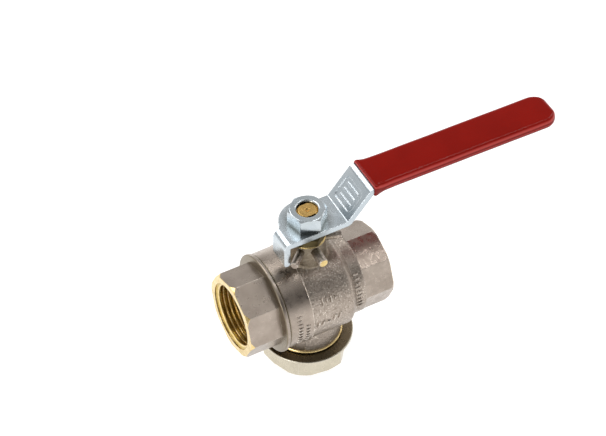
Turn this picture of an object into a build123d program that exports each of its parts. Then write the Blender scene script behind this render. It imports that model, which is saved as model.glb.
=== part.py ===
from build123d import *
import os
from math import asin, atan2, cos, degrees, hypot, pi, radians, sin, tan

# Three way ball valve with an L-shaped bore. Millimetres.
# The origin is the centre of the bottom port's mouth, which the valve stands on. +Z runs up the
# stem, +X runs along the pipe axis to the right port, which is where the lever points at rest.

# ---- overall places ----
axis_height = 34.5  # from the bottom mouth up to the pipe axis
left_reach = 32.0  # from the stem axis to the left mouth
right_reach = 29.0  # from the stem axis to the right mouth

# ---- the three threaded ports, G 3/4 ----
thread_major = 13.22  # radius at the root of the female thread
thread_minor = 12.06  # radius at its crest, which is the wall of the hole
right_thread_minor = 12.28  # the body's own thread is bored wider, near its upper limit
thread_pitch = 1.814
thread_flank = 27.5  # half of the 55 degree thread angle
thread_root_flat = 0.25
mouth_radius = 13.3
mouth_recess = 0.6  # how far the mouth's own radius goes in
mouth_chamfer = 1.2  # depth at which the thread starts
side_port_depth = 12.5
bottom_port_depth = 9.4

# ---- valve body ----
barrel_radius = 18.7
machined_radius = 19.0  # the turned band beside the joint
machined_end = -7.0
barrel_right = 10.3
shoulder_round = 2.2
stub_radius = 16.3  # the round stub that the right octagon is cut into
stub_round = 2.0
right_flats = 30.0  # across the right octagon's flats
flats_start = 17.0
boss_radius = 7.0
boss_top = 29.0  # above the pipe axis, as all heights below that end in _top
boss_blend = 1.8
neck_radius = 13.5
cast_corner = 0.5
stub_chamfer = 0.25
joint_x = -16.9  # where the left end cap's collar meets the body
joint_chamfer = 0.3  # on both sides of that joint
cap_bore_radius = 16.5
cavity_gap = 0.4

# ---- left end cap ----
left_flats = 31.0
left_turn = 4.5  # how far the octagon stopped past the body's, degrees
collar_radius = 19.5
collar_length = 1.6
collar_round = 0.5
collar_slope = 0.3
bevel_start = 0.78  # how far inside the octagons' corners the end bevels start
bevel_depth = 1.4  # how far along the corners they reach

# ---- bottom end cap ----
bottom_flats = 30.0
bottom_turn = -8.0
flange_radius = 18.1
flange_thickness = 1.3
flange_chamfer = 0.3
flange_top = 10.9  # above the bottom mouth
foot_bevel_start = 1.9
foot_bevel_depth = 2.2

# ---- ball, seats and seals ----
ball_radius = 14.0
passage_radius = 0.536 * ball_radius  # a reduced bore
seat_inner = passage_radius + 0.5
seat_outer = seat_inner + 0.1857 * ball_radius
seat_front = seat_outer + 0.1  # from the ball's centre
seat_back = ball_radius + 1.0
seat_gap = 0.1  # between a seat and the ball
pocket_depth = 2.0
pocket_gap = 0.05
seal_thickness = 0.6
seal_inset = 0.5
screw_gap = 0.1  # radial, in the screwed joints, which are plain here
slot_width = 5.0
slot_floor = ball_radius - 3.0
tongue_gap = 0.1
tongue_lift = 0.3

# ---- stem, packing and gland ----
stem_radius = 4.5
running_gap = 0.05  # radial, shaft in hole
slide_gap = 0.05  # between flat faces that turn on each other
collar_disc_radius = 6.6
collar_disc_bottom = ball_radius + 0.4
collar_disc_top = collar_disc_bottom + 1.8
collar_pocket_gap = 0.3
washer_thickness = 0.8
ring_section = 0.48  # radius of an O-ring's section
ring_groove_width = 1.3
ring_heights = (18.6, 20.6)
packing_floor = 22.0
chamber_radius = 5.8
packing_height = 1.2
gland_flats = 13.0
gland_turn = -26.0
gland_head = 3.2
gland_bevel = 0.6
gland_stand = 0.2  # between the head and the boss
shoulder_top = 34.0  # where the lever sits on the stem
stem_top = 42.3
stem_thread_radius = 4.0
stem_lead = 0.6
stem_flat = 3.0  # from the axis to each flat of the double D
punch_radius = 0.9
punch_depth = 0.8

# ---- lever, sleeve and nut ----
lever_thickness = 2.5
lever_half_width = 7.7
lever_bend = 2.6  # outer radius of each bend
lobe_radius = 10.6
lobe_blend = 4.0  # between the lobe and the strip
tab_blend = 2.0  # between the lobe and the tab
incline_start = 13.4
incline_end = 22.9
handle_rise = 11.85
handle_half_width = 6.7
handle_end = 100.5
handle_slope = 1.0  # how far the handle droops, degrees
tab_x = -12.3  # middle of the tab's thickness
tab_far = 1.1
tab_bottom = 26.3
bore_gap = 0.1  # lever and nut round the stem
panel_length = 9.2  # the sunk panel on the incline
panel_width = 11.2
panel_depth = 0.3
panel_corner = 1.6
rib_width = 0.9
rib_pitch = 2.6
sleeve_start = 23.6
sleeve_end = 104.3
sleeve_half_width = 8.0
sleeve_thickness = 5.6
sleeve_edge = 2.1
sleeve_corner = 6.2
sleeve_gap = 0.05
nut_flats = 13.0
nut_height = 6.5
nut_turn = -18.0
nut_bevel = 0.7
nut_mouth = 0.4

# ---- stops on the stem boss ----
stop_height = 26.6
stop_radius = 1.5
stop_gap = 0.3  # from the tab at either end of the travel
rest_stop_past = 1.0  # how far each stop reaches past the tab
far_stop_past = 2.0
mark_stub_radius = 1.8
mark_stub_reach = 13.8
mark_stub_turn = -92.0

picking = 0.01  # how close a radius, place or area has to be when an edge or face is picked by it

# ---- places that follow from the sizes above ----
cavity_radius = ball_radius + cavity_gap
seal_shoulder = seat_back - pocket_depth - seal_thickness
cap_end = seat_back - pocket_depth
neck_bore_radius = 0.9355 * seal_shoulder  # clear of the left end cap's spigot and seal
pipe_plane = Plane(origin=(0, 0, axis_height), x_dir=(1, 0, 0), z_dir=(0, -1, 0))
pipe_axis = Axis((0, 0, axis_height), (1, 0, 0))
collar_left = joint_x - collar_length
left_flats_end = collar_left - collar_slope
left_corner = left_flats / 2 / cos(radians(180 / 8))
foot_corner = bottom_flats / 2 / cos(radians(180 / 6))
left_mouth = Plane(origin=(-left_reach, 0, axis_height), x_dir=(0, -1, 0), z_dir=(1, 0, 0))
right_mouth = Plane(origin=(right_reach, 0, axis_height), x_dir=(0, 1, 0), z_dir=(-1, 0, 0))
neck_end = flange_top + seal_thickness
pocket_radius = seat_outer + pocket_gap
collar_pocket_top = collar_disc_top + slide_gap + washer_thickness
lever_top = shoulder_top + lever_thickness


def port_hollow(depth, crest_radius):
    """The hollow of one threaded port: mouth at the origin, going in along +Z, with ring grooves."""
    flank = (thread_major - crest_radius) * tan(radians(thread_flank))
    groove = thread_root_flat + 2 * flank
    crest = thread_pitch - groove
    turns = int((depth - mouth_chamfer - crest) / thread_pitch)
    with BuildPart() as hollow:
        with BuildSketch(Plane.XZ):
            with BuildLine():
                Polyline(
                    (0, 0),
                    (mouth_radius, 0),
                    (mouth_radius, mouth_recess),
                    (crest_radius, mouth_chamfer),
                    (crest_radius, depth),
                    (0, depth),
                    close=True,
                )
            make_face()
            for turn in range(turns):
                middle = mouth_chamfer + crest + groove / 2 + turn * thread_pitch
                with BuildLine():
                    Polyline(
                        (passage_radius, middle - groove / 2),
                        (crest_radius, middle - groove / 2),
                        (thread_major, middle - thread_root_flat / 2),
                        (thread_major, middle + thread_root_flat / 2),
                        (crest_radius, middle + groove / 2),
                        (passage_radius, middle + groove / 2),
                        close=True,
                    )
                make_face()
        revolve(axis=Axis.Z)
    return hollow.part


def flats_cutter(length, across, sides, turn):
    """A ring that leaves a prism of so many flats, along +Z from the origin, when it is taken away."""
    corner = across / 2 / cos(radians(180 / sides))
    with BuildPart() as cutter:
        with BuildSketch():
            Circle(2 * corner)
            RegularPolygon(corner, sides, rotation=turn, mode=Mode.SUBTRACT)
        extrude(amount=length)
    return cutter.part


def corner_cutter(start, corner, depth):
    """A ring that bevels the corners of a prism that ends at the origin, seen along +Z."""
    with BuildPart() as cutter:
        with BuildSketch(Plane.XZ):
            with BuildLine():
                Polyline(
                    (start, 0),
                    (corner, -depth),
                    (2 * corner, -depth),
                    (2 * corner, depth),
                    (start, depth),
                    close=True,
                )
            make_face()
        revolve(axis=Axis.Z)
    return cutter.part


def seat_ring(label):
    """One seat, with its back on the XY plane and its axis on Z, hollowed to the ball's own sphere."""
    with BuildPart() as seat:
        with BuildSketch():
            Circle(seat_outer)
            Circle(seat_inner, mode=Mode.SUBTRACT)
        extrude(amount=seat_back - seat_front)
        with Locations((0, 0, seat_back)):
            Sphere(ball_radius + seat_gap, mode=Mode.SUBTRACT)
    seat.part.label = label
    return seat.part


def flat_ring(inner, outer, thickness, place):
    """A flat ring of rectangular section that starts on the given plane."""
    with BuildPart() as ring:
        with BuildSketch(place):
            Circle(outer)
            Circle(inner, mode=Mode.SUBTRACT)
        extrude(amount=thickness)
    return ring.part


def tab_stop_turn(corner_x, corner_y, side):
    """Where a round stop has to stand, in degrees, to end the travel just before it meets a tab corner."""
    reach = hypot(corner_x, corner_y)
    corner = degrees(atan2(corner_y, corner_x))
    return corner + side * degrees(stop_gap / reach + asin(stop_radius / reach))


def write(part, label):
    part.label = label
    export_step(part, f"parts/{label}.step")


os.makedirs("parts", exist_ok=True)

# ---- valve body: barrel, right stub and octagon, stem boss with its stops, and the bottom neck ----
tab_inner = tab_x + lever_thickness / 2
tab_outer = tab_x - lever_thickness / 2
tab_side = tab_far + tab_blend / 4  # the blend widens the tab's inner corner
rest_stop = tab_stop_turn(tab_inner, -lever_half_width, 1)
far_stop = tab_stop_turn(-tab_inner, -tab_side, -1)
stops = [
    (rest_stop, stop_radius, hypot(tab_inner, lever_half_width) + rest_stop_past),
    (far_stop, stop_radius, -tab_inner + far_stop_past),
    (mark_stub_turn, mark_stub_radius, mark_stub_reach),
]

with BuildPart() as body:
    with BuildSketch(pipe_plane):
        with BuildLine():
            Polyline(
                (joint_x, 0),
                (joint_x, barrel_radius),
                (barrel_right, barrel_radius),
                (barrel_right + barrel_radius - stub_radius, stub_radius),
                (right_reach, stub_radius),
                (right_reach, 0),
                close=True,
            )
        profile = make_face()
        corners = profile.vertices().filter_by(lambda v: v.Y > passage_radius).sort_by(Axis.X)
        fillet(corners[1], shoulder_round)
        corners = profile.vertices().filter_by(lambda v: v.Y > passage_radius).sort_by(Axis.X)
        fillet(corners[2], stub_round)
    revolve(axis=pipe_axis)
    with BuildSketch(Plane.XY.offset(axis_height)):
        Circle(boss_radius)
    extrude(amount=boss_top)
    seams = body.edges().filter_by(lambda e: e.geom_type not in (GeomType.LINE, GeomType.CIRCLE))
    fillet(seams, boss_blend)
    chamfer(body.faces().sort_by(Axis.Z)[-1].edges(), cast_corner)
    with BuildSketch(Plane.XY.offset(neck_end)):
        Circle(neck_radius)
    extrude(amount=axis_height - neck_end)
    with BuildSketch(Plane(origin=(joint_x, 0, axis_height), z_dir=(1, 0, 0))):
        Circle(machined_radius)
        Circle(cap_bore_radius, mode=Mode.SUBTRACT)
    extrude(amount=machined_end - joint_x)
    lip = body.faces().sort_by(Axis.X)[0].edges().filter_by(
        lambda e: abs(e.radius - machined_radius) < picking
    )
    chamfer(lip, joint_chamfer)
    for turn, radius, reach in stops:
        outward = (cos(radians(turn)), sin(radians(turn)), 0)
        with BuildSketch(Plane(origin=(0, 0, axis_height + stop_height), z_dir=outward)):
            Circle(radius)
        extrude(amount=reach)
        tip = body.faces().filter_by(GeomType.PLANE).sort_by(Axis((0, 0, 0), outward))
        tip = [f for f in tip if abs(f.area - pi * radius**2) < picking]
        chamfer(tip[-1].edges(), stub_chamfer)
    # the right port's octagon
    with Locations(Plane(origin=(flats_start, 0, axis_height), x_dir=(0, 0, 1), z_dir=(1, 0, 0))):
        add(flats_cutter(right_reach - flats_start, right_flats, 8, 0), mode=Mode.SUBTRACT)
    with Locations(Plane(origin=(right_reach, 0, axis_height), z_dir=(1, 0, 0))):
        add(corner_cutter(stub_radius - bevel_start, stub_radius, bevel_depth), mode=Mode.SUBTRACT)
    # the hollows
    with Locations(right_mouth):
        add(port_hollow(side_port_depth, right_thread_minor), mode=Mode.SUBTRACT)
    with BuildSketch(pipe_plane):
        with BuildLine():
            Polyline(
                (joint_x, 0),
                (joint_x, cap_bore_radius),
                (-seal_shoulder, cap_bore_radius),
                (-seal_shoulder, cavity_radius),
                (cap_end, cavity_radius),
                (cap_end, pocket_radius),
                (seat_back, pocket_radius),
                (seat_back, passage_radius),
                (right_reach, passage_radius),
                (right_reach, 0),
                close=True,
            )
        make_face()
    revolve(axis=pipe_axis, mode=Mode.SUBTRACT)
    with BuildSketch(Plane.XY.offset(neck_end)):
        Circle(neck_bore_radius)
    extrude(amount=axis_height - neck_end, mode=Mode.SUBTRACT)
    with BuildSketch(pipe_plane):
        with BuildLine():
            Polyline(
                (0, 0),
                (collar_disc_radius + collar_pocket_gap, 0),
                (collar_disc_radius + collar_pocket_gap, collar_pocket_top),
                (stem_radius + running_gap, collar_pocket_top),
                (stem_radius + running_gap, packing_floor),
                (chamber_radius, packing_floor),
                (chamber_radius, boss_top),
                (0, boss_top),
                close=True,
            )
        make_face()
    revolve(axis=Axis.Z, mode=Mode.SUBTRACT)
write(body.part, "body")

# ---- left end cap: octagon, round collar and the spigot that screws into the body ----
with BuildPart() as left_end_cap:
    with BuildSketch(pipe_plane):
        with BuildLine():
            Polyline(
                (-left_reach, 0),
                (-left_reach, left_corner),
                (left_flats_end, left_corner),
                (collar_left, collar_radius),
                (joint_x - joint_chamfer, collar_radius),
                (joint_x, collar_radius - joint_chamfer),
                (joint_x, cap_bore_radius - screw_gap),
                (-cap_end, cap_bore_radius - screw_gap),
                (-cap_end, 0),
                close=True,
            )
        profile = make_face()
        top = profile.vertices().filter_by(lambda v: v.Y > collar_radius - picking).sort_by(Axis.X)
        fillet(top[0], collar_round)
    revolve(axis=pipe_axis)
    with Locations(Plane(origin=(-left_reach, 0, axis_height), x_dir=(0, 0, 1), z_dir=(1, 0, 0))):
        add(flats_cutter(left_reach + left_flats_end, left_flats, 8, left_turn), mode=Mode.SUBTRACT)
    with Locations(Plane(origin=(-left_reach, 0, axis_height), z_dir=(-1, 0, 0))):
        add(corner_cutter(left_corner - bevel_start, left_corner, bevel_depth), mode=Mode.SUBTRACT)
    with Locations(left_mouth):
        add(port_hollow(side_port_depth, thread_minor), mode=Mode.SUBTRACT)
    with BuildSketch(Plane(origin=(-left_reach, 0, axis_height), z_dir=(1, 0, 0))):
        Circle(passage_radius)
    extrude(amount=left_reach - cap_end, mode=Mode.SUBTRACT)
    with BuildSketch(Plane(origin=(-seat_back, 0, axis_height), z_dir=(1, 0, 0))):
        Circle(pocket_radius)
    extrude(amount=pocket_depth, mode=Mode.SUBTRACT)
write(left_end_cap.part, "left_end_cap")

# ---- bottom end cap: hexagon, flange and spigot ----
with BuildPart() as bottom_end_cap:
    with BuildSketch():
        RegularPolygon(foot_corner, 6, rotation=bottom_turn)
    extrude(amount=flange_top - flange_thickness)
    with Locations(Plane(origin=(0, 0, 0), z_dir=(0, 0, -1))):
        add(corner_cutter(foot_corner - foot_bevel_start, foot_corner, foot_bevel_depth), mode=Mode.SUBTRACT)
    with BuildSketch(Plane.XY.offset(flange_top - flange_thickness)):
        Circle(flange_radius)
    extrude(amount=flange_thickness)
    rim = bottom_end_cap.edges().filter_by(GeomType.CIRCLE).filter_by(
        lambda e: abs(e.radius - flange_radius) < picking
    )
    chamfer(rim, flange_chamfer)
    with BuildSketch(Plane.XY.offset(flange_top)):
        Circle(neck_bore_radius - screw_gap)
    extrude(amount=axis_height - cap_end - flange_top)
    add(port_hollow(bottom_port_depth, thread_minor), mode=Mode.SUBTRACT)
    with BuildSketch():
        Circle(passage_radius)
    extrude(amount=axis_height - cap_end, mode=Mode.SUBTRACT)
    with BuildSketch(Plane.XY.offset(axis_height - seat_back)):
        Circle(pocket_radius)
    extrude(amount=pocket_depth, mode=Mode.SUBTRACT)
write(bottom_end_cap.part, "bottom_end_cap")

# ---- the two flat seals under the screwed pieces ----
left_seal_plane = Plane(origin=(-cap_end, 0, axis_height), z_dir=(1, 0, 0))
write(
    flat_ring(cavity_radius, cap_bore_radius - screw_gap, seal_thickness, left_seal_plane),
    "left_cap_seal",
)
write(
    flat_ring(neck_bore_radius, neck_radius - seal_inset, seal_thickness, Plane.XY.offset(flange_top)),
    "bottom_cap_seal",
)

# ---- ball: an L-shaped bore from below to the right, and the stem's slot across its top ----
with BuildPart() as ball:
    with Locations((0, 0, axis_height)):
        Sphere(ball_radius)
    with BuildSketch(Plane.XY.offset(axis_height - ball_radius)):
        Circle(passage_radius)
    extrude(amount=ball_radius, mode=Mode.SUBTRACT)
    with BuildSketch(Plane(origin=(0, 0, axis_height), z_dir=(1, 0, 0))):
        Circle(passage_radius)
    extrude(amount=ball_radius, mode=Mode.SUBTRACT)
    with Locations((0, 0, axis_height)):
        Sphere(passage_radius, mode=Mode.SUBTRACT)
    with BuildSketch(Plane.XY.offset(axis_height + slot_floor)):
        Rectangle(2 * ball_radius, slot_width)
    extrude(amount=ball_radius - slot_floor, mode=Mode.SUBTRACT)
write(ball.part, "ball")

# ---- three seats ----
seat_places = {
    "left_seat": Plane(origin=(-seat_back, 0, axis_height), z_dir=(1, 0, 0)),
    "right_seat": Plane(origin=(seat_back, 0, axis_height), z_dir=(-1, 0, 0)),
    "bottom_seat": Plane(origin=(0, 0, axis_height - seat_back), z_dir=(0, 0, 1)),
}
for name, place in seat_places.items():
    write(seat_ring(name).moved(place.location), name)

# ---- stem: tongue, collar disc, shaft with two ring grooves, double D and centre mark ----
groove_floor = stem_radius - 2 * ring_section
with BuildPart() as stem:
    with BuildSketch(pipe_plane):
        with BuildLine():
            Polyline(
                (0, collar_disc_bottom),
                (collar_disc_radius, collar_disc_bottom),
                (collar_disc_radius, collar_disc_top),
                (stem_radius, collar_disc_top),
                (stem_radius, shoulder_top),
                (stem_thread_radius, shoulder_top),
                (stem_thread_radius, stem_top - stem_lead),
                (stem_thread_radius - stem_lead, stem_top),
                (punch_radius, stem_top),
                (0, stem_top - punch_depth),
                close=True,
            )
        make_face()
        with Locations(*[(stem_radius, height) for height in ring_heights]):
            Rectangle(2 * (stem_radius - groove_floor), ring_groove_width, mode=Mode.SUBTRACT)
    revolve(axis=Axis.Z)
    with BuildSketch(Plane.XY.offset(axis_height + shoulder_top)):
        with Locations((0, stem_flat + stem_radius), (0, -stem_flat - stem_radius)):
            Rectangle(3 * stem_radius, 2 * stem_radius)
    extrude(amount=stem_top - shoulder_top, mode=Mode.SUBTRACT)
    with BuildSketch(Plane.XY.offset(axis_height + slot_floor + tongue_lift)):
        Circle(stem_radius)
        Rectangle(3 * stem_radius, slot_width - 2 * tongue_gap, mode=Mode.INTERSECT)
    extrude(amount=collar_disc_bottom - slot_floor - tongue_lift)
write(stem.part, "stem")

# ---- what seals the stem ----
washer_plane = Plane.XY.offset(axis_height + collar_disc_top + slide_gap)
write(
    flat_ring(stem_radius + running_gap, collar_disc_radius, washer_thickness, washer_plane),
    "thrust_washer",
)
for name, height in zip(("stem_o_ring_lower", "stem_o_ring_upper"), ring_heights):
    with BuildPart() as o_ring:
        with BuildSketch(pipe_plane):
            with Locations((groove_floor + ring_section, height)):
                Circle(ring_section)
        revolve(axis=Axis.Z)
    write(o_ring.part, name)
for index, name in enumerate(("packing_ring_lower", "packing_ring_middle", "packing_ring_upper")):
    place = Plane.XY.offset(axis_height + packing_floor + index * packing_height)
    write(flat_ring(stem_radius + running_gap, chamber_radius - running_gap, packing_height, place), name)

# ---- gland nut: hexagon head over a screwed sleeve that presses the packing ----
gland_foot = packing_floor + 3 * packing_height
gland_corner = gland_flats / 2 / cos(radians(180 / 6))
head_bottom = boss_top + gland_stand
with BuildPart() as gland_nut:
    with BuildSketch(Plane.XY.offset(axis_height + gland_foot)):
        Circle(chamber_radius - running_gap)
    extrude(amount=head_bottom - gland_foot)
    with BuildSketch(Plane.XY.offset(axis_height + head_bottom)):
        RegularPolygon(gland_corner, 6, rotation=gland_turn)
    extrude(amount=gland_head)
    with Locations(Plane(origin=(0, 0, axis_height + head_bottom + gland_head))):
        add(corner_cutter(gland_flats / 2, gland_corner, gland_bevel), mode=Mode.SUBTRACT)
    with BuildSketch(Plane.XY.offset(axis_height + gland_foot)):
        Circle(stem_radius + running_gap)
    extrude(amount=head_bottom + gland_head - gland_foot, mode=Mode.SUBTRACT)
write(gland_nut.part, "gland_nut")

# ---- lever: one bent strip with a round lobe at the stem and a tab turned down in front ----
handle_middle = shoulder_top + lever_thickness / 2 + handle_rise
handle_drop = (handle_end - incline_end) * tan(radians(handle_slope))
half = lever_thickness / 2
incline_turn = degrees(atan2(handle_rise, incline_end - incline_start))
incline_middle = ((incline_start + incline_end) / 2, 0, axis_height + (lever_top - half + handle_middle) / 2)
with BuildPart() as lever:
    with BuildSketch(pipe_plane):
        with BuildLine():
            spine = FilletPolyline(
                (tab_x, tab_bottom),
                (tab_x, shoulder_top + half),
                (incline_start, shoulder_top + half),
                (incline_end, handle_middle),
                (handle_end, handle_middle - handle_drop),
                radius=lever_bend - half,
            )
            offset(spine, amount=half, side=Side.BOTH, kind=Kind.ARC)
        make_face()
    extrude(amount=2 * lobe_radius, both=True)
    with BuildSketch(Plane.XY.offset(axis_height)):
        Circle(lobe_radius)
        with Locations((handle_end / 2, 0)):
            Rectangle(handle_end, 2 * handle_half_width)
        with Locations((sleeve_start / 2, 0)):
            Rectangle(sleeve_start - 2 * sleeve_gap, 2 * lever_half_width)
        with Locations((tab_outer / 2 - lobe_blend, (tab_far - lever_half_width) / 2)):
            Rectangle(-tab_outer + 2 * lobe_blend, tab_far + lever_half_width)
        with Locations((0, -lever_half_width - lobe_radius)):
            Rectangle(6 * lobe_radius, 2 * lobe_radius, mode=Mode.SUBTRACT)
        strip_corner = vertices().filter_by(lambda v: v.X > 0 and abs(v.Y - lever_half_width) < picking)
        fillet(strip_corner.sort_by(Axis.X)[0], lobe_blend)
        tab_corner = vertices().filter_by(lambda v: v.X < 0 and abs(v.Y - tab_far) < picking)
        fillet(tab_corner.sort_by(Axis.X)[-1], tab_blend)
    extrude(amount=handle_middle + 2 * lobe_radius, mode=Mode.INTERSECT)
    with BuildSketch(Plane.XY.offset(axis_height)):
        Circle(stem_thread_radius + bore_gap)
        Rectangle(4 * stem_radius, 2 * (stem_flat + bore_gap), mode=Mode.INTERSECT)
    extrude(amount=2 * lever_top, mode=Mode.SUBTRACT)
    # the sunk panel with plain ribs on the incline's upper face
    incline_plane = Plane(incline_middle).rotated((0, -incline_turn, 0))
    with BuildSketch(incline_plane.offset(half - panel_depth)):
        RectangleRounded(panel_length, panel_width, panel_corner)
        with GridLocations(rib_pitch, 0, 3, 1):
            SlotOverall(panel_width - 2 * panel_corner, rib_width, rotation=90, mode=Mode.SUBTRACT)
    extrude(amount=2 * panel_depth, mode=Mode.SUBTRACT)
write(lever.part, "lever")

# ---- grip sleeve, built along the handle ----
along_handle = 1 / cos(radians(handle_slope))
sleeve_from = (sleeve_start - incline_end) * along_handle
sleeve_to = (sleeve_end - incline_end) * along_handle
hollow_to = (handle_end - incline_end) * along_handle + sleeve_gap
handle_plane = Plane((incline_end, 0, axis_height + handle_middle)).rotated((0, handle_slope, 0))
with BuildPart() as grip_sleeve:
    with BuildSketch(handle_plane):
        with Locations(((sleeve_from + sleeve_to) / 2, 0)):
            Rectangle(sleeve_to - sleeve_from, 2 * sleeve_half_width)
        fillet(vertices().group_by(Axis.X)[-1], sleeve_corner)
    extrude(amount=sleeve_thickness / 2, both=True)
    rims = grip_sleeve.faces().filter_by(GeomType.PLANE).sort_by(Axis.Z)
    fillet(rims[0].edges() + rims[-1].edges(), sleeve_edge)
    with BuildSketch(handle_plane):
        with Locations(((sleeve_from + hollow_to) / 2 - sleeve_edge, 0)):
            Rectangle(hollow_to - sleeve_from + 2 * sleeve_edge, 2 * (handle_half_width + sleeve_gap))
    extrude(amount=half + sleeve_gap, both=True, mode=Mode.SUBTRACT)
write(grip_sleeve.part, "grip_sleeve")

# ---- lever nut ----
nut_corner = nut_flats / 2 / cos(radians(180 / 6))
with BuildPart() as lever_nut:
    with BuildSketch(Plane.XY.offset(axis_height + lever_top)):
        RegularPolygon(nut_corner, 6, rotation=nut_turn)
    extrude(amount=nut_height)
    with Locations(Plane(origin=(0, 0, axis_height + lever_top + nut_height))):
        add(corner_cutter(nut_flats / 2, nut_corner, nut_bevel), mode=Mode.SUBTRACT)
    with BuildSketch(Plane.XY.offset(axis_height + lever_top)):
        Circle(stem_thread_radius + running_gap)
    extrude(amount=nut_height, mode=Mode.SUBTRACT)
    mouth = lever_nut.edges().filter_by(GeomType.CIRCLE).filter_by(
        lambda e: abs(e.radius - stem_thread_radius - running_gap) < picking
    )
    chamfer(mouth, nut_mouth)
write(lever_nut.part, "lever_nut")
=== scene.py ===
from math import cos, pi, radians, sin

import bmesh
import bpy
from mathutils import Matrix, Vector, noise


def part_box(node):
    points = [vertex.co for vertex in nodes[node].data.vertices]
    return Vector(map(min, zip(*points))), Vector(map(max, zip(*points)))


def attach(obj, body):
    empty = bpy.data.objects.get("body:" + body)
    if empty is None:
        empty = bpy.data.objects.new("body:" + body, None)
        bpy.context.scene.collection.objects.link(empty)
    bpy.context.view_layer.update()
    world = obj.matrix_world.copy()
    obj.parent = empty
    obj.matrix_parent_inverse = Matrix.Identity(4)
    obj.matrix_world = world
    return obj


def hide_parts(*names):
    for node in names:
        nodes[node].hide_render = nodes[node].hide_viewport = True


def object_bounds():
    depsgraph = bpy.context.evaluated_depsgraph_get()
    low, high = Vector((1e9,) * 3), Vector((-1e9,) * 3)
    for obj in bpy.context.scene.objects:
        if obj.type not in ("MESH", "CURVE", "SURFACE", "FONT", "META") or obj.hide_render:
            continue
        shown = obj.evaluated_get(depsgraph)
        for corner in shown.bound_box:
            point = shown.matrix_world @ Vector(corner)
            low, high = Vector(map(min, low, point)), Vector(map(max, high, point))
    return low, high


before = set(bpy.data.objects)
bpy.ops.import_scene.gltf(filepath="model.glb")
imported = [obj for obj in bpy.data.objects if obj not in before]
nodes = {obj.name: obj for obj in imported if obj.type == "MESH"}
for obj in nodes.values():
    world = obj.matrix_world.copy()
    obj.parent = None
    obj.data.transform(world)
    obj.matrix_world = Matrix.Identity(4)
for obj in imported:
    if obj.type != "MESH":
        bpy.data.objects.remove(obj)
size_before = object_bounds()
mm = 0.001

# ---- places read from the frame ----
body_low, body_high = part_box("body")
cap_low, cap_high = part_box("left_end_cap")
sleeve_low, sleeve_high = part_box("grip_sleeve")
axis_height = (cap_low.z + cap_high.z) / 2
pipe_centre = Vector((0, 0, axis_height))
stop_height = axis_height + 24 * mm  # above this only the boss and its stubs are left
stub_end = min(v.co.y for v in nodes["body"].data.vertices if v.co.z > stop_height)
flange_inside = 16 * mm  # the flange reaches further out from the stem axis
flange_top = max(v.co.z for v in nodes["bottom_end_cap"].data.vertices if v.co.xy.length > flange_inside)
lever_top_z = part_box("lever_nut")[0].z


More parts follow.
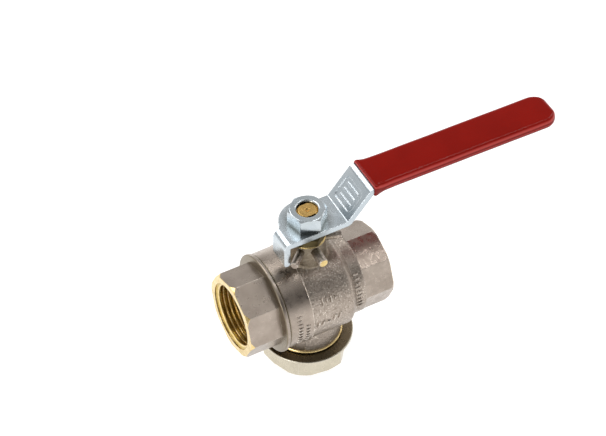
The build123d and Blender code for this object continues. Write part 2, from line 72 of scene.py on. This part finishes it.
# ---- material graphs ----
class Graph:
    """The node tree of a material or of the world, with short ways to add and join nodes."""

    def __init__(self, owner, place="Object"):
        owner.use_nodes = True
        self.owner = owner
        self.tree = owner.node_tree
        self.tree.nodes.clear()
        self.place = self.add("ShaderNodeTexCoord").outputs[place]

    def add(self, kind, settings=None, **inputs):
        node = self.tree.nodes.new(kind)
        for key, value in (settings or {}).items():
            setattr(node, key, value)
        for key, value in inputs.items():
            named = key.replace("_", " ")
            socket = node.inputs[int(key[1:]) if key[1:].isdigit() else named]
            if isinstance(value, bpy.types.NodeSocket):
                self.tree.links.new(value, socket)
            else:
                socket.default_value = value
        return node

    def math(self, operation, a, b=0.0):
        return self.add("ShaderNodeMath", {"operation": operation}, i0=a, i1=b).outputs[0]

    def step(self, value, low, high, to_low=0.0, to_high=1.0):
        """value taken smoothly from low..high to to_low..to_high."""
        made = self.add(
            "ShaderNodeMapRange",
            {"interpolation_type": "SMOOTHSTEP"},
            Value=value,
            From_Min=low,
            From_Max=high,
            To_Min=to_low,
            To_Max=to_high,
        )
        return made.outputs["Result"]

    def noise(self, scale, detail=3.0, roughness=0.55):
        made = self.add(
            "ShaderNodeTexNoise", None, Vector=self.place, Scale=scale, Detail=detail, Roughness=roughness
        )
        return made.outputs["Fac"]

    def mix(self, fac, a, b):
        made = self.add("ShaderNodeMix", {"data_type": "RGBA"}, i0=fac, i6=a, i7=b)
        return made.outputs[2]

    def mix_number(self, fac, a, b):
        return self.add("ShaderNodeMix", {"data_type": "FLOAT"}, i0=fac, i2=a, i3=b).outputs[0]

    def bump(self, height, distance, strength=1.0, before=None):
        made = self.add("ShaderNodeBump", None, Height=height, Distance=distance, Strength=strength)
        if before is not None:
            self.tree.links.new(before, made.inputs["Normal"])
        return made.outputs["Normal"]

    def surface(self, **inputs):
        shader = self.add("ShaderNodeBsdfPrincipled", None, **inputs)
        self.add("ShaderNodeOutputMaterial", None, Surface=shader.outputs["BSDF"])
        return self.owner

    def axes(self):
        made = self.add("ShaderNodeSeparateXYZ", None, Vector=self.place)
        return made.outputs[0], made.outputs[1], made.outputs[2]

    def soft_edges(self, radius):
        """A normal that rounds sharp edges a little."""
        return self.add("ShaderNodeBevel", {"samples": 4}, Radius=radius).outputs["Normal"]

    def worn_and_lit_edges(self, radius):
        """1 along sharp edges, where the softened normal leans away from the true one, in patches."""
        true = self.add("ShaderNodeNewGeometry").outputs["True Normal"]
        soft = self.soft_edges(radius)
        made = self.add("ShaderNodeVectorMath", {"operation": "DOT_PRODUCT"}, i0=true, i1=soft)
        lean = self.step(made.outputs["Value"], 0.90, 0.99, 1.0, 0.0)
        return self.math("MULTIPLY", lean, self.step(self.noise(350, 4, 0.6), 0.35, 0.6, 0.15, 0.9))

    def facing_up(self):
        """1 where the surface faces up the stem."""
        normal = self.add("ShaderNodeTexCoord").outputs["Normal"]
        return self.add("ShaderNodeSeparateXYZ", None, Vector=normal).outputs[2]

    def at_face(self, reach, face):
        """1 where reach, a distance along an axis, has come to an end face."""
        return self.step(reach, face - face_skin, face - face_skin / 2)

    def radius_about_pipe(self):
        """Distance from the pipe axis, in metres."""
        _, y, z = self.axes()
        up = self.math("SUBTRACT", z, axis_height)
        square = self.math("ADD", self.math("MULTIPLY", y, y), self.math("MULTIPLY", up, up))
        return self.math("SQRT", square)

    def radius_about_stem(self):
        """Distance from the stem axis, in metres."""
        x, y, _ = self.axes()
        square = self.math("ADD", self.math("MULTIPLY", x, x), self.math("MULTIPLY", y, y))
        return self.math("SQRT", square)


def new_graph(name):
    return Graph(bpy.data.materials.new(name))


# ---- colours, and places in metres that the materials share ----
nickel_light = (0.43, 0.365, 0.31, 1)
nickel_dark = (0.33, 0.275, 0.23, 1)
nickel_stain = (0.15, 0.12, 0.09, 1)
brass_light = (0.80, 0.62, 0.31, 1)
brass_dark = (0.64, 0.47, 0.18, 1)
# dark olive of the painted shade on the nickel
painted_shade_olive = (0.155, 0.125, 0.07, 1)
nickel_glint = (0.86, 0.78, 0.68, 1)
# paler nickel for the edges: partly wear, partly a painted edge highlight
nickel_edge = (0.80, 0.74, 0.66, 1)
# the bead's tones, lighter than the plate: a painted highlight along it
bead_nickel_tone = (0.44, 0.38, 0.32, 1)
bead_painted_highlight = (0.62, 0.55, 0.48, 1)
# dark brass of the painted shade in the thread roots
thread_root_shade = (0.44, 0.31, 0.05, 1)
brass_blotch = (0.46, 0.30, 0.10, 1)
# near-black brass for painted shade on brass that sits in shadow
brass_shaded = (0.075, 0.06, 0.026, 1)
zinc_light = (0.59, 0.64, 0.67, 1)
zinc_dark = (0.47, 0.525, 0.56, 1)
zinc_yellowed = (0.60, 0.61, 0.53, 1)
zinc_glint = (0.78, 0.84, 0.88, 1)
# dark colour of the painted shade round the foot of the nut
zinc_nut_shade = (0.17, 0.185, 0.175, 1)
# paler zinc for the edges: partly wear, partly a painted edge highlight
zinc_edge = (0.76, 0.80, 0.83, 1)
red_light = (0.225, 0.0046, 0.0014, 1)
red_dark = (0.200, 0.0039, 0.0011, 1)
red_scuff = (0.36, 0.04, 0.03, 1)
# paler red of the painted highlight along the sleeve's side walls
red_painted_highlight = (0.58, 0.085, 0.075, 1)

thread_flank = (0.01235, 0.0129)  # radii where the painted shade in a thread starts and is full
thread_root = (0.01323, 0.01326)  # radii where it ends
mouth_wall = (0.01354, 0.01366)  # radii just past the widest cut of a port
face_skin = 0.00012  # how deep a face's own colour goes
port_depth = 0.0142
port_fade = 0.0004
# where masks fade along an axis, each from and to
right_port_floor = (0.0148, 0.0152)
bottom_port_floor = (0.0104, 0.0108)
cast_from = (-0.0070, -0.0067)
cast_to = (0.0164, 0.0170)
under_collar = (-0.0166, -0.0161)
collar_left = (-0.0192, -0.0188)
collar_edge = (-0.0183, -0.0181)
collar_right = (-0.0173, -0.0171)
bare_roughness = 0.22
lathe_pitch = 0.00045


def brass_colour(g, radius):
    """Machined brass, with painted shade in the thread's roots. radius is the distance from the bore's
    axis.
    """
    colour = g.mix(g.step(g.noise(420, 4), 0.35, 0.7), brass_light, brass_dark)
    flank = g.step(radius, *thread_flank, 0.0, 0.75)
    return g.mix(g.math("MULTIPLY", flank, g.step(radius, *thread_root, 1, 0)), colour, thread_root_shade)


def nickel(name, bare, rough, cast=None, shade=None, upright=False, tones=(nickel_light, nickel_dark)):
    """Nickel plate over brass, for a port about the stem axis if upright and else about the pipe axis.

    Three functions of the graph give masks: bare is 1 on machined brass, cast on the sand-cast skin,
    and shade where shade is painted on the plate. rough is the plate's roughness, low and high.
    """
    g = new_graph(name)
    radius = g.radius_about_stem() if upright else g.radius_about_pipe()
    mottled = g.step(g.noise(150, 3, 0.5), 0.25, 0.8)
    plate = g.mix(mottled, *tones)
    grime = g.step(g.noise(90, 4, 0.55), 0.58, 0.8, 0.0, 0.2)
    plate = g.mix(grime, plate, nickel_stain)
    fine = g.noise(1500, 3, 0.7)
    glint = g.step(fine, 0.6, 0.76, 0.0, 0.1)
    plate_rough = g.step(g.noise(600, 3), 0.3, 0.7, *rough)
    normal = g.bump(g.noise(260, 3, 0.5), 0.00002, before=g.soft_edges(0.0003))
    if cast:
        skin = cast(g)
        glint = g.mix_number(skin, glint, g.step(fine, 0.54, 0.7, 0.0, 0.95))
        pits = g.step(g.noise(1250, 3, 0.65), 0.48, 0.32, 0.0, 0.6)
        plate = g.mix(g.math("MULTIPLY", pits, skin), plate, nickel_stain)
        plate_rough = g.mix_number(skin, plate_rough, g.math("ADD", plate_rough, 0.04))
        normal = g.bump(g.math("MULTIPLY", g.noise(820, 5, 0.65), skin), 0.00028, before=normal)
        x, _, _ = g.axes()
        rings = g.math("SINE", g.math("MULTIPLY", x, 2 * pi / lathe_pitch))
        rings = g.math("MULTIPLY", rings, g.math("SUBTRACT", 1.0, skin))
        normal = g.bump(rings, 0.00001, before=normal)
    plate = g.mix(glint, plate, nickel_glint)
    # paler edges: partly wear, partly a painted edge highlight
    plate = g.mix(g.worn_and_lit_edges(0.0004), plate, nickel_edge)
    # painted shade: the shade mask mixes a dark olive into the plate
    if shade:
        plate = g.mix(shade(g), plate, painted_shade_olive)
    mask = bare(g)
    return g.surface(
        Base_Color=g.mix(mask, plate, brass_colour(g, radius)),
        Metallic=1.0,
        Roughness=g.mix_number(mask, plate_rough, bare_roughness),
        Normal=normal,
    )


def bare_at_pipe_mouth(sign, end, start, slope):
    """The machined end of a side port: its thread, its face and the worn bevel across the corners."""

    def mask(g):
        x, _, _ = g.axes()
        radius = g.radius_about_pipe()
        reach = g.math("MULTIPLY", x, sign)
        inside = g.step(radius, *mouth_wall, 1, 0)
        near_end = g.step(reach, end - port_depth, end - port_depth + port_fade)
        depth = g.math("SUBTRACT", end, reach)
        cone = g.math("SUBTRACT", radius, g.math("MULTIPLY", depth, slope))
        ragged = g.math("MULTIPLY", g.math("SUBTRACT", g.noise(700, 3), 0.5), 0.00022)
        bevel = g.step(g.math("ADD", cone, ragged), start - 0.00014, start - 0.00004)
        close = g.step(reach, end - 0.0017, end - 0.0015)
        face = g.at_face(reach, end)
        bevel = g.math("MULTIPLY", bevel, close)
        return g.math("MAXIMUM", g.math("MULTIPLY", inside, near_end), g.math("MAXIMUM", bevel, face))

    return mask


def bare_on_body(g):
    """The right port's thread and face, the front stub's end, the boss top and the neck's foot."""
    x, y, z = g.axes()
    radius = g.radius_about_pipe()
    thread = g.math("MULTIPLY", g.step(radius, *mouth_wall, 1, 0), g.step(x, *right_port_floor))
    face = g.at_face(x, body_high.x)
    foot = g.step(z, body_low.z + 0.0007, body_low.z + 0.0009, 1, 0)
    top = g.step(z, body_high.z - 0.0006, body_high.z - 0.0004)
    stub = g.step(y, stub_end + 0.00005, stub_end + 0.0002, 1, 0)
    stub = g.math("MULTIPLY", stub, g.step(z, stop_height, stop_height + 0.0002))
    level = g.math("MAXIMUM", foot, top)
    return g.math("MAXIMUM", g.math("MAXIMUM", thread, face), g.math("MAXIMUM", level, stub))


def cast_on_body(g):
    """1 on the cast skin, right of the turned band beside the joint, and next to nothing on the octagon."""
    x, _, _ = g.axes()
    return g.math("MULTIPLY", g.step(x, *cast_from), g.step(x, *cast_to, 1, 0.06))


def shade_on_body(g):
    """Painted shade round the foot of the stem boss and in the corner under the collar."""
    x, _, z = g.axes()
    radius = g.radius_about_stem()
    ragged = g.math("MULTIPLY", g.math("SUBTRACT", g.noise(260, 4), 0.5), 0.004)
    ring = g.step(g.math("ADD", radius, ragged), 0.0072, 0.0116, 0.62, 0.0)
    high = g.step(z, axis_height + 0.0165, axis_height + 0.0185)
    joint = g.step(x, *under_collar, 0.75, 0.0)
    return g.math("MAXIMUM", g.math("MULTIPLY", ring, high), joint)


def shade_on_left_cap(g):
    """Painted shade in the corners on both sides of the collar."""
    x, _, _ = g.axes()
    corner = g.math("MULTIPLY", g.step(x, *collar_left), g.step(x, *collar_edge, 0.7, 0.0))
    return g.math("MAXIMUM", corner, g.step(x, *collar_right, 0.0, 0.7))


def bare_at_foot(g):
    """The bottom port's thread and its face."""
    _, _, z = g.axes()
    radius = g.radius_about_stem()
    inside = g.math("MULTIPLY", g.step(radius, *mouth_wall, 1, 0), g.step(z, *bottom_port_floor, 1, 0))
    return g.math("MAXIMUM", inside, g.step(z, face_skin / 2, face_skin, 1, 0))


def shade_on_foot(g):
    """Painted shade on the flange's upper face, under the body, darkest on the left."""
    x, _, z = g.axes()
    flange = g.at_face(z, flange_top)
    side = g.step(x, -0.004, 0.016, 0.85, 0.6)
    return g.math("MULTIPLY", flange, side)


def painted_highlight_nickel(name):
    """Plate made lighter on a proud edge: a painted highlight."""
    g = new_graph(name)
    patchy = g.step(g.noise(500, 4, 0.6), 0.38, 0.62)
    return g.surface(
        Base_Color=g.mix(patchy, bead_nickel_tone, bead_painted_highlight),
        Metallic=1.0,
        Roughness=g.step(g.noise(900, 3), 0.3, 0.7, 0.22, 0.36),
        Normal=g.bump(g.noise(1500, 3), 0.00002),
    )


def brass(name, shade_and_dull=0.0, light=brass_light):
    """Turned brass. Its second argument goes from 0, clean, to 1, darkened all over with painted shade and
    made rougher.
    """
    g = new_graph(name)
    colour = g.mix(g.step(g.noise(350, 4, 0.55), 0.35, 0.75, 0.0, 0.6), light, brass_blotch)
    if shade_and_dull:
        colour = g.mix(shade_and_dull, colour, brass_shaded)
    return g.surface(
        Base_Color=colour,
        Metallic=1.0,
        Roughness=g.step(g.noise(1500, 4), 0.3, 0.7, 0.2 + shade_and_dull * 0.2, 0.32 + shade_and_dull * 0.2),
        Normal=g.bump(g.noise(500, 2), 0.000008, 1.0, g.soft_edges(0.0002)),
    )


def zinc(name, rough):
    """Bright zinc plate with a faint yellow cast in places, and painted shade round the foot of the nut."""
    g = new_graph(name)
    cloud = g.step(g.noise(75, 3, 0.5), 0.3, 0.7)
    colour = g.mix(cloud, zinc_light, zinc_dark)
    tint = g.step(g.noise(45, 3), 0.5, 0.8, 0.0, 0.3)
    colour = g.mix(tint, colour, zinc_yellowed)
    fine = g.step(g.noise(1400, 3, 0.6), 0.6, 0.75, 0.0, 0.35)
    colour = g.mix(fine, colour, zinc_glint)
    # painted shade on the plate, close round the foot of the nut
    _, _, z = g.axes()
    low = g.step(z, lever_top_z + 0.0002, lever_top_z + 0.0022, 0.75, 0.0)
    close = g.step(g.radius_about_stem(), 0.0062, 0.0108, 1.0, 0.0)
    colour = g.mix(g.math("MULTIPLY", low, close), colour, zinc_nut_shade)
    # paler edges: partly wear, partly a painted edge highlight
    colour = g.mix(g.worn_and_lit_edges(0.0005), colour, zinc_edge)
    return g.surface(
        Base_Color=colour,
        Metallic=1.0,
        Roughness=g.step(g.noise(300, 4), 0.3, 0.7, *rough),
        Normal=g.bump(g.noise(420, 3, 0.5), 0.000016, 0.6, g.soft_edges(0.00045)),
    )


def sleeve_red(name):
    """Glossy dipped plastic, with a painted highlight: a paler line along its side walls."""
    g = new_graph(name)
    cloud = g.step(g.noise(70, 4, 0.6), 0.3, 0.7)
    colour = g.mix(cloud, red_light, red_dark)
    scuff = g.step(g.noise(900, 6, 0.7), 0.66, 0.82, 0.0, 0.08)
    colour = g.mix(scuff, colour, red_scuff)
    up = g.facing_up()
    # painted highlight: a paler band where the side wall turns down from the top
    side_highlight = g.math("MULTIPLY", g.step(up, 0.30, 0.52), g.step(up, 0.60, 0.84, 0.75, 0.0))
    colour = g.mix(side_highlight, colour, red_painted_highlight)
    return g.surface(
        Base_Color=colour,
        Roughness=g.step(g.noise(260, 4), 0.3, 0.7, 0.14, 0.2),
        Specular_IOR_Level=g.step(up, 0.5, 0.8, 0.2, 0.1),
        Normal=g.bump(g.noise(140, 3), 0.00003),
    )


def chrome(name):
    g = new_graph(name)
    cloud = g.step(g.noise(200, 3), 0.3, 0.7)
    return g.surface(
        Base_Color=g.mix(cloud, (0.72, 0.73, 0.75, 1), (0.62, 0.63, 0.66, 1)),
        Metallic=1.0,
        Roughness=g.step(g.noise(900, 3), 0.3, 0.7, 0.05, 0.12),
        Normal=g.bump(g.noise(2500, 2), 0.000002),
    )


def ptfe(name):
    g = new_graph(name)
    cloud = g.step(g.noise(300, 3), 0.3, 0.7)
    return g.surface(
        Base_Color=g.mix(cloud, (0.84, 0.83, 0.80, 1), (0.74, 0.73, 0.70, 1)),
        Roughness=g.step(g.noise(900, 3), 0.3, 0.7, 0.38, 0.55),
        Normal=g.bump(g.noise(1500, 3), 0.00001),
    )


def rubber(name):
    g = new_graph(name)
    cloud = g.step(g.noise(300, 3), 0.3, 0.7)
    return g.surface(
        Base_Color=g.mix(cloud, (0.018, 0.018, 0.018, 1), (0.032, 0.031, 0.03, 1)),
        Roughness=g.step(g.noise(900, 3), 0.3, 0.7, 0.5, 0.7),
        Normal=g.bump(g.noise(2500, 3), 0.00001),
    )


def paint(material, *names):
    for name in names:
        mesh = nodes[name].data
        mesh.materials.clear()
        mesh.materials.append(material)


left_bare = bare_at_pipe_mouth(-1, -cap_low.x, 0.016, 0.557)
body_nickel = nickel("body_nickel", bare_on_body, (0.24, 0.38), cast_on_body, shade_on_body)
paint(body_nickel, "body")
paint(nickel("left_cap_nickel", left_bare, (0.27, 0.33), None, shade_on_left_cap), "left_end_cap")
# lighter nickel tones for the foot: painted light, as if lit by the bright floor around it
foot_lit_tones = ((0.68, 0.625, 0.50, 1), (0.60, 0.545, 0.43, 1))
foot_nickel = nickel("foot_nickel", bare_at_foot, (0.24, 0.36), None, shade_on_foot, True, foot_lit_tones)
paint(foot_nickel, "bottom_end_cap")
paint(brass("stem_brass", 0.0, (0.62, 0.39, 0.13, 1)), "stem")
# the gland nut sits under the lever plate: its brass is darkened almost all over, painted shade
paint(brass("gland_brass", 0.96), "gland_nut")
paint(zinc("lever_zinc", (0.2, 0.3)), "lever")
paint(zinc("nut_zinc", (0.15, 0.24)), "lever_nut")
red = sleeve_red("sleeve_red")
paint(red, "grip_sleeve")
paint(chrome("ball_chrome"), "ball")
paint(
    ptfe("ptfe"),
    "left_seat",
    "right_seat",
    "bottom_seat",
    "thrust_washer",
    "packing_ring_lower",
    "packing_ring_middle",
    "packing_ring_upper",
)
paint(rubber("seal_rubber"), "left_cap_seal", "bottom_cap_seal", "stem_o_ring_lower", "stem_o_ring_upper")


# ---- pieces of their own ----
def new_piece(name, points, faces, material, body, sharp=None):
    mesh = bpy.data.meshes.new(name)
    mesh.from_pydata(points, [], faces)
    made = bmesh.new()
    made.from_mesh(mesh)
    bmesh.ops.recalc_face_normals(made, faces=made.faces)
    made.to_mesh(mesh)
    made.free()
    mesh.polygons.foreach_set("use_smooth", [True] * len(mesh.polygons))
    if sharp:
        mesh.set_sharp_from_angle(angle=radians(sharp))
    mesh.materials.append(material)
    piece = bpy.data.objects.new(name, mesh)
    bpy.context.scene.collection.objects.link(piece)
    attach(piece, body)
    return piece


corner_points = 9


def rounded_ring(half_width, half_height, corner):
    """Points (across, up) round a rectangle with round corners, the same number for every ring."""
    corner = min(corner, half_width, half_height)
    ring = []
    for quarter in range(4):
        centre = (
            (half_width - corner) * (1, -1, -1, 1)[quarter],
            (half_height - corner) * (1, 1, -1, -1)[quarter],
        )
        for step in range(corner_points):
            angle = pi / 2 * (quarter + step / (corner_points - 1))
            ring.append((centre[0] + corner * cos(angle), centre[1] + corner * sin(angle)))
    return ring


def grip():
    """The dipped sleeve: a rolled lip at the strip, a slight flare, a long even run and a blunt tip."""
    start = sleeve_low.x
    length = sleeve_high.x - start
    half_width = (sleeve_high.y - sleeve_low.y) / 2
    half_height = sleeve_half_height
    edge = 2.45 * mm
    tip = 6.2 * mm
    stations = [  # along, across, up, corner radius
        (1.2 * mm, 6.72 * mm, 1.27 * mm, 0.3 * mm),
        (0.30 * mm, 6.80 * mm, 1.36 * mm, 0.4 * mm),
        (0.02 * mm, 7.35 * mm, 1.80 * mm, 0.8 * mm),
        (0.08 * mm, 7.95 * mm, 2.35 * mm, 1.3 * mm),
        (0.42 * mm, 8.32 * mm, 2.62 * mm, 1.6 * mm),
        (1.0 * mm, 8.4 * mm, 2.72 * mm, 1.6 * mm),
        (2.2 * mm, 8.38 * mm, 2.74 * mm, edge),
        (4.0 * mm, half_width + 0.2 * mm, half_height - 0.04 * mm, edge),
        (6.5 * mm, half_width + 0.06 * mm, half_height - 0.03 * mm, edge),
    ]
    runs = 30
    first, last = 9 * mm, length - tip
    tip_steps = 12
    for step in range(runs + 1):
        stations.append((first + (last - first) * step / runs, half_width, half_height - 0.03 * mm, edge))
    for step in range(1, tip_steps + 1):
        angle = pi / 2 * step / tip_steps
        across = half_width - tip + tip * cos(angle)
        along = last + tip * sin(angle)
        inset = max(0.0, along - (length - edge))
        up = half_height - 0.03 * mm - edge + (max(edge**2 - inset**2, 0.0)) ** 0.5
        stations.append((along, across, max(up, 0.5 * mm), edge))
    points, faces = [], []
    count = 4 * corner_points
    for along, across, up, corner in stations:
        for a, u in rounded_ring(across, up, corner):
            spot = sleeve_start + sleeve_along * along + Vector((0, a, 0)) + sleeve_up * u
            wave = noise.noise(spot * 55) * 0.07 * mm + noise.noise(spot * 240) * 0.02 * mm
            calm = min(1.0, along / (8 * mm))
            outward = (Vector((0, a, 0)) * (half_height / half_width) + sleeve_up * u).normalized()
            points.append(spot - outward * (abs(wave) * calm))
    for ring in range(len(stations) - 1):
        for step in range(count):
            a, b = ring * count + step, ring * count + (step + 1) % count
            faces.append((a, b, b + count, a + count))
    faces.append(tuple(range((len(stations) - 1) * count, len(stations) * count)))
    faces.append(tuple(reversed(range(count))))
    piece = new_piece("grip_skin", points, faces, red, "lever_and_ball")
    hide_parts("grip_sleeve")


def ridge(points, faces, path, place, width, height):
    """One raised cast stroke along path. place(s, a, h) gives the point h above the surface."""
    section = [(-0.5, -0.35), (-0.36, 0.55), (-0.16, 0.95), (0.16, 0.95), (0.36, 0.55), (0.5, -0.35)]
    line = []
    for (s0, a0), (s1, a1) in zip(path, path[1:]):
        pieces = max(2, round(((s1 - s0) ** 2 + (a1 - a0) ** 2) ** 0.5 / 0.5))
        line += [(s0 + (s1 - s0) * k / pieces, a0 + (a1 - a0) * k / pieces) for k in range(pieces)]
    line.append(path[-1])
    base = len(points)
    for index, (s, a) in enumerate(line):
        before, after = line[max(index - 1, 0)], line[min(index + 1, len(line) - 1)]
        way = Vector((after[0] - before[0], after[1] - before[1])).normalized()
        taper = 0.45 if index in (0, len(line) - 1) else 1.0
        for across, up in section:
            lift = up * height * (taper if up > 0 else 1)
            points.append(place(s - way.y * across * width, a + way.x * across * width, lift))
    n = len(section)
    for ring in range(len(line) - 1):
        for step in range(n):
            a, b = base + ring * n + step, base + ring * n + (step + 1) % n
            faces.append((a, b, b + n, a + n))
    faces.append(tuple(base + k for k in reversed(range(n))))
    faces.append(tuple(base + (len(line) - 1) * n + k for k in range(n)))


def on_pipe(radius):
    """s is along the pipe axis and a round it from straight ahead, both in mm."""

    def place(s, a, h):
        turn = a / radius
        out = (radius + h) * mm
        return Vector((s * mm, -out * cos(turn), axis_height + out * sin(turn)))

    return place


# radii of the skin that the raised strokes stand on, in mm
cast_skin = 18.7
turned_band = 18.98
right_stub = 16.28
bead_seat = 18.95
bead_length = 2 * pi * 18.9  # a little short of a full turn, so that its ends stay apart


def cast_marks():
    """Plain raised strokes where a maker's casting marks would be. They spell nothing."""
    points, faces = [], []
    barrel = on_pipe(cast_skin)
    for s, low, high in ((-2.2, 7.6, 10.8), (-0.4, 8.2, 10.2), (1.4, 7.6, 10.8), (3.0, 8.6, 9.8)):
        ridge(points, faces, [(s, low), (s, high)], barrel, 0.9, 0.8)
    for s, low, high in ((-5.4, -1.6, 0.8), (-3.4, -1.6, 0.8), (1.4, -1.2, 1.8), (3.6, -1.2, 1.8)):
        ridge(points, faces, [(s, low), (s + 1.1, high)], barrel, 1.0, 0.6)
    ridge(points, faces, [(-1.4, -0.4), (0.2, -0.4)], barrel, 1.0, 0.6)
    turned = on_pipe(turned_band)
    spacing = 1.75
    for index in range(9):
        a = -7.0 + index * spacing
        ridge(points, faces, [(-13.6, a), (-11.5, a)], turned, 0.95, 0.5)
        if index < 6:
            ridge(points, faces, [(-10.4, a), (-8.5, a)], turned, 0.95, 0.5)
    stub = on_pipe(right_stub)
    for index in range(9):
        a = -2.0 + index * spacing
        ridge(points, faces, [(13.0, a), (15.2, a)], stub, 0.95, 0.6)
    new_piece("cast_marks", points, faces, body_nickel, "valve_body")


def neck_ring():
    """The turned brass foot of the neck, with a bright bevel over the seal."""
    points, faces = [], []
    low = body_low.z
    section = ((13.42, 0.02), (13.98, 0.02), (14.0, 0.22), (13.62, 0.82), (13.42, 0.9))
    count, n = 96, len(section)
    for step in range(count):
        angle = 2 * pi * step / count
        for r, h in section:
            points.append(Vector((r * mm * cos(angle), r * mm * sin(angle), low + h * mm)))
    for step in range(count):
        for k in range(n):
            a, b = step * n + k, step * n + (k + 1) % n
            c = (step + 1) % count * n
            faces.append((a, b, c + (k + 1) % n, c + k))
    new_piece("neck_ring", points, faces, brass("neck_brass"), "valve_body", 40)


def turned_bead():
    """The fine raised line where the turned band meets the cast skin."""
    points, faces = [], []
    place = on_pipe(bead_seat)
    count = 180
    path = [(-6.95, bead_length * k / count) for k in range(count + 1)]
    ridge(points, faces, path, place, 0.55, 0.24)
    new_piece("turned_bead", points, faces, bead_nickel, "valve_body")


sleeve_points = nodes["grip_sleeve"].data.vertices
heights = [v.co.z for v in sleeve_points if v.co.x < sleeve_low.x + 1 * mm]
sleeve_middle_z = (max(heights) + min(heights)) / 2
sleeve_half_height = (max(heights) - min(heights)) / 2
sleeve_start = Vector((sleeve_low.x, 0, sleeve_middle_z))
droop = radians(1.0)
sleeve_along = Vector((cos(droop), 0, -sin(droop)))
sleeve_up = Vector((sin(droop), 0, cos(droop)))
grip()
cast_marks()
neck_ring()
bead_nickel = painted_highlight_nickel("painted_highlight_nickel")
turned_bead()


# ---- floor, lights and camera ----
def plane_mesh(name, size, height):
    mesh = bpy.data.meshes.new(name)
    grid = bmesh.new()
    signs = ((-1, -1), (1, -1), (1, 1), (-1, 1))
    grid.faces.new([grid.verts.new((x * size, y * size, height)) for x, y in signs])
    grid.to_mesh(mesh)
    grid.free()
    thing = bpy.data.objects.new(name, mesh)
    bpy.context.scene.collection.objects.link(thing)
    return thing


floor = plane_mesh("floor", 6.0, size_before[0][2])
floor_white = new_graph("floor_white").surface(
    Base_Color=(0.45, 0.45, 0.45, 1), Roughness=0.9, Emission_Color=(1, 1, 1, 1), Emission_Strength=0.8
)
floor.data.materials.append(floor_white)


def softbox(name, place, aim, size, watts):
    light = bpy.data.lights.new(name, "AREA")
    light.shape = "RECTANGLE"
    light.size, light.size_y = size
    light.energy = watts
    lamp = bpy.data.objects.new(name, light)
    bpy.context.scene.collection.objects.link(lamp)
    lamp.location = place
    lamp.rotation_euler = (Vector(aim) - Vector(place)).to_track_quat("-Z", "Y").to_euler()


softbox("key", (-0.35, 0.85, 1.4), (0, 0, 0.03), (1.3, 1.0), 13)
softbox("glint", (0.56, -0.02, 1.5), (0.06, 0, 0.08), (0.34, 0.5), 3.2)
softbox("fill_left", (-1.2, -0.6, 0.5), (0, 0, 0.03), (0.5, 0.7), 5)
softbox("rim_right", (1.2, 0.2, 0.9), (0, 0, 0.03), (0.4, 0.9), 5)


def studio_world():
    """A pale tent: bright round the horizon, dimmer overhead, and dark above the front."""
    world = bpy.data.worlds.new("studio")
    bpy.context.scene.world = world
    g = Graph(world, "Generated")
    _, y, z = g.axes()
    ramp = g.add("ShaderNodeValToRGB", None, i0=z)
    stops = ((0.0, 0.95), (0.2, 0.75), (0.42, 0.5), (0.62, 0.56), (0.8, 0.62), (1.0, 0.3))
    while len(ramp.color_ramp.elements) < len(stops):
        ramp.color_ramp.elements.new(0.5)
    for element, (at, level) in zip(ramp.color_ramp.elements, stops):
        element.position = at
        element.color = (level, level, level, 1)
    dark = g.math("MULTIPLY", g.step(y, -0.8, -0.3, 0.8, 0.0), g.step(z, 0.15, 0.4))
    rest = g.math("SUBTRACT", 1.0, dark)
    sky = g.add("ShaderNodeBackground", None, Color=ramp.outputs[0], Strength=rest)
    g.add("ShaderNodeOutputWorld", None, Surface=sky.outputs[0])


studio_world()

turn = radians(28.9205)
tilt = radians(47.4240)
roll = radians(0.5245)
distance = 0.92557
focal = 2455.5 / 606  # in image widths
offset = (3.399 / 2455.5, 67.946 / 2455.5)  # the pipe centre's place in the image, over the focal length
right = Vector((cos(turn), -sin(turn), 0))
forward = Vector((sin(turn) * cos(tilt), cos(turn) * cos(tilt), -sin(tilt)))
up = right.cross(forward)
image_right = right * cos(roll) + up * sin(roll)
image_up = up * cos(roll) - right * sin(roll)
camera_data = bpy.data.cameras.new("camera")
sensor = 36
camera_data.sensor_width = sensor
camera_data.lens = sensor * focal
camera_data.clip_start = 0.05
camera = bpy.data.objects.new("camera", camera_data)
bpy.context.scene.collection.objects.link(camera)
bpy.context.scene.camera = camera
eye = pipe_centre - distance * (forward + image_right * offset[0] - image_up * offset[1])
turned = Matrix((image_right, image_up, -forward)).transposed()
camera.matrix_world = Matrix.Translation(eye) @ turned.to_4x4()
bpy.context.scene.view_settings.view_transform = "Standard"
